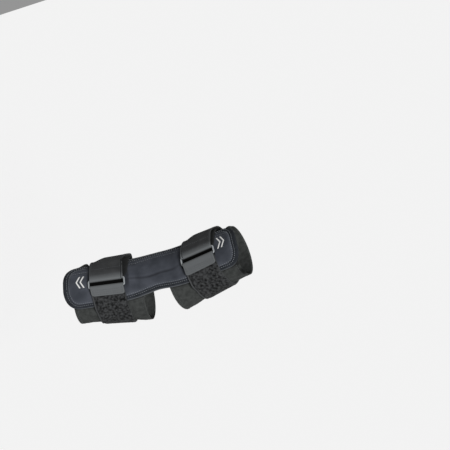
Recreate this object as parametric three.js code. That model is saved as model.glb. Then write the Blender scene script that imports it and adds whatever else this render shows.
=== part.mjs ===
// Elbow brace. A padded splint panel lies along the front of a bent elbow, two wide elastic bands
// hold it to the upper arm and the forearm, and over each band a webbing strap is drawn through a
// ring and folded back on its own loop pile. Sizes are millimetres and degrees. The origin is the
// middle of the elbow on the arm's axis, +X runs towards the hand and +Z leaves the front.
import * as THREE from "three";

// The hollow that the arm fills
const BEND = 28; // between the axes of the upper arm and the forearm
const BEND_LENGTH = 80; // stretch of the axis that takes the bend
const ELBOW_WIDTH = 101;
const ELBOW_DEPTH = 81;

// Splint panel, with a long stay pocket that stands a little proud
const UPPER_REACH = 150; // along the axis, from the elbow to the panel's end
const FOREARM_REACH = 146;
const PANEL_WIDTH = 76; // round the arm
const PANEL_THICK = 4;
const RIM_THICK = 1.5; // where the binding presses the padding flat
const RIM_SLOPE = 3.5; // from the pressed rim up to the full thickness
const END_ROUND = 26; // stretch in which each end rounds off
const END_POWER = 2.4; // 2 is an ellipse, higher is squarer
const POCKET_WIDTH = 32;
const POCKET_RISE = 0.6;
const POCKET_SHIFT = 5; // from the panel's middle towards its upper edge
const POCKET_SLOPE = 3;

// Edge binding
const BINDING_WIDTH = 6;
const BINDING_WALL = 1;

// Elastic bands
const BAND_WIDTH = 115;
const BAND_THICK = 2;
const BAND_TUCK = 14; // sewn under each long edge of the panel
const BAND_TAPER = 11; // how much shorter the upper arm's band is at the back
const BAND_LEAN = 7; // slant of the edges at the elbow
const ELBOW_GAP = 44; // bare elbow between the bands
const FLARE = 0.7; // the free edges stand off the arm

// Straps, their loop pile and their rings
const STRAP_WIDTH = 50;
const STRAP_THICK = 1.8;
const STRAP_PLACE = 84.5; // from the elbow to the middle of a strap
const STRAP_SLANT = 13; // the strap lies this much nearer the hand at the back
const ARCH_HEIGHT = 11.6; // off the arm, where the strap spans the panel's upper edge
const TAIL_LENGTH = 46; // sewn end, which lies under the strap and shows beside it
const PILE_THICK = 1.4;
const PILE_END = 185; // degrees round from the front
const RING_BAR = 2.5;
const RING_TALL = 15;
const RING_PLAY = 0.5; // each side of the strap
const RING_CORNER = 2.5;

// Clearance between neighbouring pieces
const GAP = 0.3;

// How finely the pieces are divided
const STEP = 7.5; // degrees round the arm
const FOLD_STEPS = 6; // round a bar
const PANEL_STEPS = 18; // along the panel's straight stretch
const PANEL_COLUMNS = 9; // between its pressed rims
const BAND_STEPS = 12; // across a band
const STRAP_STEPS = 3; // across a strap
const BAR_SIDES = 8;

// Width of the arm hollow: place as a share of the panel's reach, width as a share of the elbow's
const ARM = [
  { at: -1, wide: 0.832 },
  { at: -0.5, wide: 0.921 },
  { at: 0, wide: 1 },
  { at: 0.5, wide: 0.871 },
  { at: 1, wide: 0.772 },
];

// Panel outline: place as a share of its reach, middle line and width as shares of its width
const PANEL = [
  { at: -1, middle: -0.125, wide: 1 },
  { at: -0.73, middle: -0.12, wide: 1 },
  { at: -0.38, middle: -0.085, wide: 1 },
  { at: -0.13, middle: -0.03, wide: 0.97 },
  { at: 0.03, middle: -0.013, wide: 0.95 },
  { at: 0.2, middle: -0.035, wide: 0.96 },
  { at: 0.37, middle: -0.06, wide: 0.97 },
  { at: 0.7, middle: -0.095, wide: 0.96 },
  { at: 1, middle: -0.115, wide: 0.95 },
];

// Strap over the panel's upper edge: degrees round from the front on that side, and as shares of
// the rise from the band to the arch its height and how far the edge away from the hand droops
const ARCH = [
  { at: 12, high: 0.92, droop: 0 },
  { at: 40, high: 1, droop: 0.4 },
  { at: 52, high: 1, droop: 0.62 },
  { at: 66, high: 0.97, droop: 0.6 },
  { at: 84, high: 0.42, droop: 0.2 },
  { at: 100, high: 0, droop: 0 },
];

// Slant of the straps: degrees round from the front, going under the arm, and share of the slant
const SLANT = [
  { at: 24, upper_arm: 0, forearm: 0 },
  { at: 45, upper_arm: 0.22, forearm: 0 },
  { at: 80, upper_arm: 0.55, forearm: 0.02 },
  { at: 125, upper_arm: 0.88, forearm: 0.12 },
  { at: 180, upper_arm: 1, forearm: 0.45 },
  { at: 265, upper_arm: 1, forearm: 0.6 },
  { at: 295, upper_arm: 0.95, forearm: 0.35 },
  { at: 312, upper_arm: 0.3, forearm: 0.1 },
  { at: 330, upper_arm: 0, forearm: 0 },
];

// Slant of the sewn ends: share of their length from the upper bar, and share of the slant
const TAIL = [
  { at: 0, upper_arm: 0, forearm: 0 },
  { at: 0.18, upper_arm: 0.42, forearm: 0.27 },
  { at: 0.5, upper_arm: 0.62, forearm: 0.35 },
  { at: 1, upper_arm: 0.85, forearm: 0.42 },
];

// Gathers of the elastic where a strap pulls it: place as a share of the strap's place, degrees
// round from the front on the upper side, length and breadth as shares of the strap's width, and
// rise as a share of the panel's thickness
const GATHERS = [
  { side: -1, at: 1.39, turn: 60, long: 0.2, round: 0.4, rise: 1.4 },
  { side: -1, at: 1.5, turn: -100, long: 0.16, round: 0.5, rise: 0.2 },
  { side: -1, at: 0.42, turn: -100, long: 0.2, round: 0.6, rise: 0.2 },
  { side: 1, at: 0.5, turn: -90, long: 0.24, round: 0.6, rise: 0.25 },
  { side: 1, at: 0.58, turn: 66, long: 0.2, round: 0.4, rise: 0.6 },
  { side: 1, at: 1.54, turn: 58, long: 0.12, round: 0.5, rise: 0.7 },
];

// The two fastenings: side of the elbow, degrees from the front to the ring, length of the tab,
// how much shorter the band is at the back, and how much further from the elbow it starts at the
// front and at the back
const FASTENINGS = [
  { name: "upper_arm", side: -1, turn: -17, tab: 14, taper: BAND_TAPER, front: BAND_LEAN, back: 0 },
  { name: "forearm", side: 1, turn: -13, tab: 21, taper: 0, front: 0, back: BAND_LEAN },
];

// Heights off the arm
const PANEL_BASE = BAND_THICK + GAP;
const RIM_BASE = PANEL_BASE + BINDING_WALL + GAP;
const RIM_TOP = RIM_BASE + RIM_THICK;
const PANEL_TOP = PANEL_BASE + PANEL_THICK + POCKET_RISE;
const STRAP_ON_BAND = BAND_THICK + GAP + STRAP_THICK / 2;
const STRAP_ON_PANEL = PANEL_TOP + GAP + STRAP_THICK / 2;
const ARCH_RISE = ARCH_HEIGHT - STRAP_ON_BAND;
const FOLD_RADIUS = RING_BAR / 2 + GAP + STRAP_THICK / 2;
const RING_HEIGHT = STRAP_ON_PANEL + FOLD_RADIUS;
const TAB_HEIGHT = STRAP_ON_PANEL + STRAP_THICK + PILE_THICK + 2 * GAP;

const radians = THREE.MathUtils.degToRad;
const degrees = THREE.MathUtils.radToDeg;
const clamp = THREE.MathUtils.clamp;
const smooth = THREE.MathUtils.smoothstep;

// Value of a table's column at a place, on a smooth curve through the rows
function follow(rows, column, at) {
  const last = rows.length - 1;
  const place = clamp(at, rows[0].at, rows[last].at);
  const n = clamp(rows.findIndex((row) => row.at >= place) - 1, 0, last - 1);
  const [low, high] = [rows[n], rows[n + 1]];
  const slope = (m) => {
    const [before, after] = [rows[Math.max(m - 1, 0)], rows[Math.min(m + 1, last)]];
    return (after[column] - before[column]) / (after.at - before.at);
  };
  const run = high.at - low.at;
  const t = (place - low.at) / run;
  const bend = t * (1 - t) * run;
  const straight = low[column] + (high[column] - low[column]) * t * t * (3 - 2 * t);
  return straight + bend * (slope(n) * (1 - t) - slope(n + 1) * t);
}

// A place along the axis as a share of the panel's reach on its side of the elbow
const reachAt = (s) => (s < 0 ? UPPER_REACH : FOREARM_REACH);
const shareAt = (s) => s / reachAt(s);

// Half the hollow's width at a place along the axis, and half its depth
const halfWidth = (s) => (follow(ARM, "wide", shareAt(s)) * ELBOW_WIDTH) / 2;
const halfDepth = (s) => (halfWidth(s) * ELBOW_DEPTH) / ELBOW_WIDTH;

// A point by its place along the axis, degrees round from the front, and height off the arm
function onArm(s, turn, height) {
  const curve = radians(BEND) / BEND_LENGTH;
  const bent = clamp(s, -BEND_LENGTH / 2, BEND_LENGTH / 2);
  const tilt = curve * bent;
  const straight = s - bent;
  const x = Math.sin(tilt) / curve + straight * Math.cos(tilt);
  const z = (1 - Math.cos(tilt)) / curve + straight * Math.sin(tilt);
  const forward = (halfDepth(s) + height) * Math.cos(radians(turn));
  const sideways = (halfWidth(s) + height) * Math.sin(radians(turn));
  return new THREE.Vector3(x - Math.sin(tilt) * forward, sideways, z + Math.cos(tilt) * forward);
}

// Degrees round the arm for a length round it at the panel's own height
function turnFor(length, s) {
  const meanRadius = (halfWidth(s) * 9 + halfDepth(s)) / 10 + PANEL_BASE + PANEL_THICK / 2;
  return degrees(length / meanRadius);
}

// Geometry from shared points and triangles, turned so that its faces point outwards
function closedGeometry(points, faces) {
  let volume = 0;
  for (let f = 0; f < faces.length; f += 3) {
    const [a, b, c] = [points[faces[f]], points[faces[f + 1]], points[faces[f + 2]]];
    volume += a.dot(new THREE.Vector3().crossVectors(b, c));
  }
  const geometry = new THREE.BufferGeometry().setFromPoints(points);
  geometry.setIndex(volume < 0 ? faces.reverse() : faces);
  geometry.computeVertexNormals();
  return geometry;
}

// A closed wall: a grid of points on its two faces, joined round the border
function wallGeometry(across, along, place) {
  const points = [];
  const faces = [];
  const at = (i, j, face) => (i * (along + 1) + j) * 2 + face;
  const quad = (a, b, c, d) => faces.push(a, b, c, a, c, d);
  for (let i = 0; i <= across; i++)
    for (let j = 0; j <= along; j++) points.push(place(i, j, 0), place(i, j, 1));
  for (let i = 0; i < across; i++) {
    for (let j = 0; j < along; j++) {
      quad(at(i, j, 1), at(i + 1, j, 1), at(i + 1, j + 1, 1), at(i, j + 1, 1));
      quad(at(i, j, 0), at(i, j + 1, 0), at(i + 1, j + 1, 0), at(i + 1, j, 0));
    }
    quad(at(i, 0, 0), at(i + 1, 0, 0), at(i + 1, 0, 1), at(i, 0, 1));
    quad(at(i, along, 1), at(i + 1, along, 1), at(i + 1, along, 0), at(i, along, 0));
  }
  for (let j = 0; j < along; j++) {
    quad(at(0, j, 1), at(0, j + 1, 1), at(0, j + 1, 0), at(0, j, 0));
    quad(at(across, j, 0), at(across, j + 1, 0), at(across, j + 1, 1), at(across, j, 1));
  }
  return closedGeometry(points, faces);
}

// A closed hoop: one outline of points at each place round it
function hoopGeometry(sections) {
  const sides = sections[0].length;
  const faces = [];
  sections.forEach((_, i) => {
    const next = (i + 1) % sections.length;
    for (let k = 0; k < sides; k++) {
      const beside = (k + 1) % sides;
      const [a, b] = [i * sides + k, next * sides + k];
      const [c, d] = [next * sides + beside, i * sides + beside];
      faces.push(a, b, c, a, c, d);
    }
  });
  return closedGeometry(sections.flat(), faces);
}

function namedMesh(name, geometry, colour, roughness, metalness = 0) {
  const material = new THREE.MeshStandardMaterial({ color: colour, roughness, metalness });
  const mesh = new THREE.Mesh(geometry, material);
  mesh.name = name;
  return mesh;
}

// Splint panel outline on the unrolled arm: its middle line and half width at a place
const panelMiddle = (s) => follow(PANEL, "middle", shareAt(s)) * PANEL_WIDTH;
const squareHalf = (s) => (follow(PANEL, "wide", shareAt(s)) * PANEL_WIDTH) / 2;
function panelHalf(s) {
  const fromEnd = reachAt(s) - Math.abs(s);
  const into = clamp(1 - fromEnd / END_ROUND, 0, 1);
  return squareHalf(s) * Math.pow(1 - Math.pow(into, END_POWER), 1 / END_POWER);
}

// Places along the panel, closer together where the ends round off
function panelStations() {
  const rim = BINDING_WIDTH + GAP;
  const blunt = GAP;
  const full = rim + RIM_SLOPE;
  const closing = [blunt, rim / 5, rim / 2, rim, full, (full + END_ROUND) / 2];
  const low = END_ROUND - UPPER_REACH;
  const step = (FOREARM_REACH - END_ROUND - low) / PANEL_STEPS;
  const middle = Array.from({ length: PANEL_STEPS + 1 }, (_, n) => low + step * n);
  const upperEnd = closing.map((fromEnd) => fromEnd - UPPER_REACH);
  const forearmEnd = closing.map((fromEnd) => FOREARM_REACH - fromEnd);
  return [...upperEnd, ...middle, ...forearmEnd.reverse()];
}

// The outline as points { s, w }, w being the length round the arm, with the blunt ends divided
function panelOutline() {
  const stations = panelStations();
  const edge = (side) => stations.map((s) => ({ s, w: panelMiddle(s) + side * panelHalf(s) }));
  const between = (a, b) =>
    [1 / 3, 2 / 3].map((t) => ({ s: a.s + (b.s - a.s) * t, w: a.w + (b.w - a.w) * t }));
  const lower = edge(-1);
  const upper = edge(1).reverse();
  const hand = between(lower[lower.length - 1], upper[0]);
  const shoulder = between(upper[upper.length - 1], lower[0]);
  return [...lower, ...hand, ...upper, ...shoulder];
}

// Distance from a point of the unrolled panel to its outline
function fromOutline(outline, s, w) {
  return Math.min(
    ...outline.map((a, n) => {
      const b = outline[(n + 1) % outline.length];
      const [ds, dw] = [b.s - a.s, b.w - a.w];
      const t = clamp(((s - a.s) * ds + (w - a.w) * dw) / (ds * ds + dw * dw), 0, 1);
      return Math.hypot(s - a.s - ds * t, w - a.w - dw * t);
    }),
  );
}

function panelMesh() {
  const stations = panelStations();
  const outline = panelOutline();
  const rim = BINDING_WIDTH + GAP;
  const edges = [0, rim / 2, rim, rim + RIM_SLOPE];
  const borders = edges.length - 1;
  const columns = 2 * borders + PANEL_COLUMNS;
  const place = (i, j, face) => {
    const s = stations[i];
    const half = panelHalf(s);
    const squeeze = Math.min(1, half / (edges[borders] + RIM_SLOPE));
    const edge = edges[Math.min(j, columns - j, borders)] * squeeze;
    const share = clamp((j - borders) / PANEL_COLUMNS, 0, 1);
    const w = panelMiddle(s) + (half - edge) * (2 * share - 1);
    const depth = fromOutline(outline, s, w);
    const full = smooth(depth, rim + GAP, rim + RIM_SLOPE);
    const fromPocket = Math.abs(w - panelMiddle(s) - POCKET_SHIFT) - POCKET_WIDTH / 2;
    const pocket = full * (1 - smooth(fromPocket, -POCKET_SLOPE, 0));
    const top = RIM_TOP + full * (PANEL_TOP - POCKET_RISE - RIM_TOP) + pocket * POCKET_RISE;
    const base = RIM_BASE + full * (PANEL_BASE - RIM_BASE);
    return onArm(s, turnFor(w, s), face ? top : base);
  };
  return namedMesh("panel", wallGeometry(stations.length - 1, columns, place), 0x3f4345, 0.85);
}

// Binding: a folded tape round the panel's rim, its section a C that is open inwards
function bindingMesh() {
  const outline = panelOutline();
  const [base, top] = [PANEL_BASE, RIM_TOP + GAP + BINDING_WALL];
  const back = -GAP - BINDING_WALL;
  const soften = BINDING_WALL * 0.6;
  const section = [
    [BINDING_WIDTH, top - BINDING_WALL],
    [BINDING_WIDTH, top],
    [back + soften, top],
    [back, top - soften],
    [back, base + soften],
    [back + soften, base],
    [BINDING_WIDTH, base],
    [BINDING_WIDTH, base + BINDING_WALL],
    [-GAP, base + BINDING_WALL],
    [-GAP, top - BINDING_WALL],
  ];
  const sections = outline.map((point, n) => {
    const before = outline[(n + outline.length - 1) % outline.length];
    const after = outline[(n + 1) % outline.length];
    const inward = inwardNormal(before, point, after);
    return section.map(([depth, height]) => {
      const s = point.s + inward.s * depth;
      const w = point.w + inward.w * depth;
      return onArm(s, turnFor(w, s), height);
    });
  });
  return namedMesh("panel_binding", hoopGeometry(sections), 0x2e3134, 0.8);
}

// Mitred normal of the outline at a point, on its left, which is the inside
function inwardNormal(before, point, after) {
  const left = (a, b) => {
    const length = Math.hypot(b.s - a.s, b.w - a.w);
    return { s: -(b.w - a.w) / length, w: (b.s - a.s) / length };
  };
  const [first, second] = [left(before, point), left(point, after)];
  const mitre = 1 + first.s * second.s + first.w * second.w;
  return { s: (first.s + second.s) / mitre, w: (first.w + second.w) / mitre };
}

// Degrees from the front to a long edge of the panel, as if its ends were square
function edgeTurn(s, side) {
  return turnFor(panelMiddle(s) + side * squareHalf(s), s);
}

// How far a band stands off the arm: its free edges flare, and it gathers beside the strap
function bandRise(fastening, s, turn) {
  const strapMiddle = fastening.side * STRAP_PLACE + STRAP_SLANT / 2;
  const aside = Math.abs(s - strapMiddle) - (STRAP_WIDTH + STRAP_SLANT) / 2 - 2 * GAP;
  const upper = turn > 0 ? 1 : -1;
  const bare = Math.abs(turn) - Math.abs(edgeTurn(s, upper)) - turnFor(BINDING_WALL + GAP, s);
  const flare = FLARE * smooth(aside, 0, STRAP_WIDTH / 2) * smooth(bare, 0, 4 * STEP);
  const gathers = GATHERS.filter((row) => row.side === fastening.side).map((row) => {
    const along = (s - row.side * row.at * STRAP_PLACE) / (row.long * STRAP_WIDTH);
    const across = radians(turn - row.turn) * (halfWidth(s) / (row.round * STRAP_WIDTH));
    return row.rise * PANEL_THICK * Math.exp(-along * along - across * across);
  });
  const clear = smooth(aside, 0, BAND_THICK * 3) * smooth(bare, 0, 2 * STEP);
  return flare + clear * gathers.reduce((sum, rise) => sum + rise, 0);
}

function bandMesh(fastening) {
  const along = Math.ceil(300 / STEP);
  const place = (i, j, face) => {
    const share = j / along;
    const under = Math.sin(Math.PI * share) ** 2;
    const lean = fastening.front + (fastening.back - fastening.front) * under;
    const near = ELBOW_GAP / 2 + lean;
    const far = ELBOW_GAP / 2 + BAND_WIDTH - fastening.taper * under;
    const s = fastening.side * (near + ((far - near) * i) / BAND_STEPS);
    const start = edgeTurn(s, -1) + turnFor(BAND_TUCK, s);
    const finish = edgeTurn(s, 1) - turnFor(BAND_TUCK, s) - 360;
    const turn = start + (finish - start) * share;
    const signed = turn < -180 ? turn + 360 : turn;
    return onArm(s, turn, bandRise(fastening, s, signed) + face * BAND_THICK);
  };
  return namedMesh(`${fastening.name}_band`, wallGeometry(BAND_STEPS, along, place), 0x444644, 0.95);
}

// Middle line of a strap as { round, high, shift, hang }: degrees from the front going under the
// arm, height, how far it lies towards the hand, and how far its other edge droops. It runs from
// the tab's free end over and round the ring's lower bar, under the arm, over the panel's upper
// edge, round the upper bar and back to the sewn tail. With it come the places on it where the
// loop pile starts and ends.
function strapPath(fastening) {
  const middle = fastening.side * STRAP_PLACE;
  const perMm = degrees(1 / (halfWidth(middle) + RING_HEIGHT));
  const reach = (RING_TALL - RING_BAR) / 2;
  const lower = -fastening.turn + reach * perMm;
  const upper = 360 - fastening.turn - reach * perMm;
  const ends = [-1, 1].map((end) => middle + (end * STRAP_WIDTH) / 2);
  const lowerEdge = Math.max(...ends.map((s) => -edgeTurn(s, -1)));
  const offPanel = lowerEdge + 2 * perMm * (BINDING_WALL + GAP);
  const fold = (bar, towards) =>
    Array.from({ length: FOLD_STEPS + 1 }, (_, n) => {
      const angle = (Math.PI * n) / FOLD_STEPS;
      const slotSide = -towards * Math.sin(angle) * FOLD_RADIUS * perMm;
      return { round: bar + slotSide, high: RING_HEIGHT + Math.cos(angle) * FOLD_RADIUS };
    });
  const slant = (rows, at) => follow(rows, fastening.name, at) * STRAP_SLANT;
  const run = (from, to, height) => {
    const steps = Math.ceil(Math.abs(to - from) / STEP);
    return Array.from({ length: steps + 1 }, (_, n) => {
      const round = from + ((to - from) * n) / steps;
      return { round, high: height(round) };
    });
  };
  const tabEnd = lower + fastening.tab * perMm;
  const tab = run(tabEnd, lower + 3 * RING_BAR * perMm, () => TAB_HEIGHT);
  const tailEnd = upper - TAIL_LENGTH * perMm;
  const arch = (round) => STRAP_ON_BAND + follow(ARCH, "high", 360 - round) * ARCH_RISE;
  const [archStart, archEnd] = [360 - ARCH[ARCH.length - 1].at, 360 - ARCH[0].at];
  const folded = [...tab, ...fold(lower, 1)];
  const wrapped = [
    ...folded,
    ...run(lower + RING_BAR * perMm, offPanel, () => STRAP_ON_PANEL),
    ...run(offPanel + 2 * STEP, archStart - STEP, () => STRAP_ON_BAND),
    ...run(archStart, archEnd, arch),
    ...fold(upper, -1),
  ];
  const tail = run(upper - RING_BAR * perMm, tailEnd, () => STRAP_ON_PANEL);
  const fromBar = (round) => (upper - round) / (upper - tailEnd);
  const path = [
    ...wrapped.map((point) => ({
      ...point,
      shift: slant(SLANT, point.round),
      hang: follow(ARCH, "droop", 360 - point.round) * ARCH_RISE,
    })),
    ...tail.map((point) => ({ ...point, shift: slant(TAIL, fromBar(point.round)), hang: 0 })),
  ];
  const pileStart = folded.length;
  const pileEnd = path.findIndex((point, n) => n > pileStart && point.round > PILE_END);
  return { path, pileStart, pileEnd };
}

// A ribbon along part of a strap's middle line, between two distances from it
function ribbonGeometry(fastening, path, first, last, inner, outer) {
  const middle = fastening.side * STRAP_PLACE;
  const mmPer = radians(1) * (halfWidth(middle) + RING_HEIGHT);
  const place = (i, j, face) => {
    const point = path[first + j];
    const before = path[Math.max(first + j - 1, 0)];
    const after = path[Math.min(first + j + 1, path.length - 1)];
    const normal = sideNormal(before, point, after, mmPer);
    const distance = face ? outer : inner;
    const round = point.round + (normal.round * distance) / mmPer;
    const s = middle + point.shift + STRAP_WIDTH * (i / STRAP_STEPS - 0.5);
    const hang = i === 0 ? point.hang : 0;
    return onArm(s, -round, point.high - hang + normal.high * distance);
  };
  return wallGeometry(STRAP_STEPS, last - first, place);
}

// Mitred normal of a strap's middle line at a point, on its outer side
function sideNormal(before, point, after, mmPer) {
  const outer = (a, b) => {
    const [run, rise] = [(b.round - a.round) * mmPer, b.high - a.high];
    const length = Math.hypot(run, rise) || 1;
    return { round: -rise / length, high: run / length };
  };
  const first = before === point ? outer(point, after) : outer(before, point);
  const second = after === point ? first : outer(point, after);
  const mitre = 1 + first.round * second.round + first.high * second.high;
  return { round: (first.round + second.round) / mitre, high: (first.high + second.high) / mitre };
}

function strapMesh(fastening) {
  const { path } = strapPath(fastening);
  const half = STRAP_THICK / 2;
  const geometry = ribbonGeometry(fastening, path, 0, path.length - 1, -half, half);
  return namedMesh(`${fastening.name}_strap`, geometry, 0x3a3b3d, 0.7);
}

function pileMesh(fastening) {
  const { path, pileStart, pileEnd } = strapPath(fastening);
  const inner = STRAP_THICK / 2 + GAP;
  const outer = inner + PILE_THICK;
  const geometry = ribbonGeometry(fastening, path, pileStart, pileEnd, inner, outer);
  return namedMesh(`${fastening.name}_pile`, geometry, 0x222223, 1);
}

// Ring: a round bar bent to a rectangle that follows the arm
function ringMesh(fastening) {
  const middle = fastening.side * STRAP_PLACE;
  const perMm = degrees(1 / (halfWidth(middle) + RING_HEIGHT));
  const long = STRAP_WIDTH / 2 + RING_PLAY + RING_BAR / 2;
  const tall = (RING_TALL - RING_BAR) / 2;
  const shape = new THREE.Shape();
  const [cx, cy] = [long - RING_CORNER, tall - RING_CORNER];
  shape.absarc(cx, cy, RING_CORNER, 0, Math.PI / 2);
  shape.absarc(-cx, cy, RING_CORNER, Math.PI / 2, Math.PI);
  shape.absarc(-cx, -cy, RING_CORNER, Math.PI, Math.PI * 1.5);
  shape.absarc(cx, -cy, RING_CORNER, Math.PI * 1.5, Math.PI * 2);
  const route = divideLong(shape.getPoints(4).slice(0, -1), STRAP_WIDTH / 3);
  const sections = route.map((point, n) => {
    const before = asSection(route[(n + route.length - 1) % route.length]);
    const after = asSection(route[(n + 1) % route.length]);
    const inward = inwardNormal(before, asSection(point), after);
    return Array.from({ length: BAR_SIDES }, (_, k) => {
      const angle = (2 * Math.PI * (k + 0.5)) / BAR_SIDES;
      const aside = (RING_BAR / 2) * Math.cos(angle);
      const s = middle + point.x + inward.s * aside;
      const turn = fastening.turn + (point.y + inward.w * aside) * perMm;
      return onArm(s, turn, RING_HEIGHT + (RING_BAR / 2) * Math.sin(angle));
    });
  });
  return namedMesh(`${fastening.name}_ring`, hoopGeometry(sections), 0x8d9293, 0.35, 0.6);
}

const asSection = (point) => ({ s: point.x, w: point.y });

// The route with its long straight stretches divided, and doubled points left out
function divideLong(route, longest) {
  return route.flatMap((point, n) => {
    const next = route[(n + 1) % route.length];
    const length = point.distanceTo(next);
    if (length < GAP / 10) return [];
    const parts = Math.ceil(length / longest);
    return Array.from({ length: parts }, (_, k) => point.clone().lerp(next, k / parts));
  });
}

const brace = new THREE.Group();
brace.add(panelMesh(), bindingMesh());
for (const fastening of FASTENINGS) {
  const group = new THREE.Group();
  group.add(bandMesh(fastening), strapMesh(fastening), pileMesh(fastening), ringMesh(fastening));
  brace.add(group);
}

export default brace;
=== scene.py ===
# %% [markdown]
# # An elbow brace
# A padded splint panel lies along the front of a bent elbow. Two wide elastic bands hold it to the
# upper arm and the forearm. Over each band a strap goes through a ring and folds back on itself.
# All but the rings is soft, and all of it follows the arm. So every piece but the stitches starts
# as a flat grid, as cloth does, and one function wraps the grid round the arm.

# %% Tools and the frame
import math

import bmesh
import bpy
import numpy as np
from mathutils import Matrix, Vector, noise


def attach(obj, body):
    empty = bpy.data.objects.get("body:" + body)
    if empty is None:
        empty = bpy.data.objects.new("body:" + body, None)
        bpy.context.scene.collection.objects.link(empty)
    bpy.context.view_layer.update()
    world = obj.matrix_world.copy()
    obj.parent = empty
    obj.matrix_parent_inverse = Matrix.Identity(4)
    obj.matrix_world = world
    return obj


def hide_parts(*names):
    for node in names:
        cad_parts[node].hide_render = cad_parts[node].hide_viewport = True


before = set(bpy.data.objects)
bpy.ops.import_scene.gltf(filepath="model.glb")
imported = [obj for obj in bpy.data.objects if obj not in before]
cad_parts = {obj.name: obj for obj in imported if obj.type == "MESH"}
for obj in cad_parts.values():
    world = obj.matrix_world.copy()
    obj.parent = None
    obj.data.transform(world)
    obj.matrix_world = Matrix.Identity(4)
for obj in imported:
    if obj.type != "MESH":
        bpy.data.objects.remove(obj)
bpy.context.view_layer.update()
print("solids to dress:", len(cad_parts))

# %% [markdown]
# ## The form that the brace is made on
# Such a brace is shaped on a form, and the form's shape is in every piece. Its axis is a straight
# line, an arc at the elbow and a straight line again, and its section is an oval. A place on it is
# three numbers: millimetres along the axis, degrees round from the front, and millimetres off the
# form. Widths that change along it come from short tables, with a smooth curve through their rows.

# %% Sizes, in millimetres and degrees
MM = 0.001
BEND = 28
BEND_LENGTH = 80
ELBOW_WIDTH = 101
ELBOW_DEPTH = 81
UPPER_REACH = 150
FOREARM_REACH = 146
PANEL_WIDTH = 76
PANEL_THICK = 4
RIM_THICK = 1.5
RIM_SLOPE = 3.5
END_ROUND = 26
END_POWER = 2.4
POCKET_WIDTH = 32
POCKET_RISE = 0.6
POCKET_SHIFT = 5
POCKET_SLOPE = 3
BINDING_WIDTH = 6
BINDING_WALL = 1
BAND_WIDTH = 115
BAND_THICK = 2
BAND_TUCK = 14
BAND_TAPER = 11
BAND_LEAN = 7
ELBOW_GAP = 44
FLARE = 0.7
STRAP_WIDTH = 50
STRAP_THICK = 1.8
STRAP_PLACE = 84.5
STRAP_SLANT = 13
ARCH_HEIGHT = 11.6
TAIL_LENGTH = 46
PILE_THICK = 1.4
PILE_END = 185
RING_BAR = 2.5
RING_TALL = 15
RING_PLAY = 0.5
RING_CORNER = 2.5
GAP = 0.3
STEP = 7.5
FOLD_STEPS = 6
FRONT_WEIGHT = 9

PANEL_BASE = BAND_THICK + GAP
RIM_BASE = PANEL_BASE + BINDING_WALL + GAP
RIM_TOP = RIM_BASE + RIM_THICK
PANEL_TOP = PANEL_BASE + PANEL_THICK + POCKET_RISE
STRAP_ON_BAND = BAND_THICK + GAP + STRAP_THICK / 2
STRAP_ON_PANEL = PANEL_TOP + GAP + STRAP_THICK / 2
ARCH_RISE = ARCH_HEIGHT - STRAP_ON_BAND
FOLD_RADIUS = RING_BAR / 2 + GAP + STRAP_THICK / 2
RING_HEIGHT = STRAP_ON_PANEL + FOLD_RADIUS
TAB_HEIGHT = STRAP_ON_PANEL + STRAP_THICK + PILE_THICK + 2 * GAP


# %% Tables
def table(columns, *rows):
    """Rows of numbers as dictionaries with a key for each column."""
    return [dict(zip(columns.split(), row)) for row in rows]


ARM = table("at wide", (-1, 0.832), (-0.5, 0.921), (0, 1), (0.5, 0.871), (1, 0.772))
PANEL = table(
    "at middle wide",
    (-1, -0.125, 1),
    (-0.73, -0.12, 1),
    (-0.38, -0.085, 1),
    (-0.13, -0.03, 0.97),
    (0.03, -0.013, 0.95),
    (0.2, -0.035, 0.96),
    (0.37, -0.06, 0.97),
    (0.7, -0.095, 0.96),
    (1, -0.115, 0.95),
)
ARCH = table(
    "at high droop",
    (12, 0.92, 0),
    (40, 1, 0.4),
    (52, 1, 0.62),
    (66, 0.97, 0.6),
    (84, 0.42, 0.2),
    (100, 0, 0),
)
SLANT = table(
    "at upper_arm forearm",
    (24, 0, 0),
    (45, 0.22, 0),
    (80, 0.55, 0.02),
    (125, 0.88, 0.12),
    (180, 1, 0.45),
    (265, 1, 0.6),
    (295, 0.95, 0.35),
    (312, 0.3, 0.1),
    (330, 0, 0),
)
TAIL = table(
    "at upper_arm forearm",
    (0, 0, 0),
    (0.18, 0.42, 0.27),
    (0.5, 0.62, 0.35),
    (1, 0.85, 0.42),
)
GATHERS = table(
    "side at turn long round rise",
    (-1, 1.39, 60, 0.2, 0.4, 1.4),
    (-1, 1.5, -100, 0.16, 0.5, 0.2),
    (-1, 0.42, -100, 0.2, 0.6, 0.2),
    (1, 0.5, -90, 0.24, 0.6, 0.25),
    (1, 0.58, 66, 0.2, 0.4, 0.6),
    (1, 1.54, 58, 0.12, 0.5, 0.7),
)
CREASE = table(
    "at from_middle deep",
    (-75, -1, 0),
    (-53, -4.7, 0.5),
    (-32, -9.2, 0.9),
    (-9, -12.4, 1),
    (15, -10.8, 1),
    (40, -9.4, 0.8),
    (56, -6.3, 0),
)
# Painted shade in hollows beside the straps: place along the arm, distance off the panel's middle,
# length, width, and how dark.
SHADED_HOLLOWS = table(
    "at off_middle long wide dark",
    (-54, -4, 3.5, 14, 0.6),
    (56.5, -9.5, 2.6, 6, 0.75),
)
# Painted shade on the bands, at the forearm band's far end and in hollows beside the straps: place
# along the arm, degrees round, length, width, and how dark.
BAND_SHADED_HOLLOWS = table(
    "at turn long wide dark",
    (138, -86, 7, 9, 0.9),
    (111.5, -58, 3, 5, 0.6),
    (-57, -58, 3, 6, 0.4),
)
FASTENINGS = table(
    "name side turn tab cut taper front back",
    ("upper_arm", -1, -17, 14, 0, BAND_TAPER, BAND_LEAN, 0),
    ("forearm", 1, -13, 17.5, 1, 0, 0, BAND_LEAN),
)


# %% A smooth curve through a table, and the form itself
def clamp(value, low, high):
    return max(low, min(high, value))


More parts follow.
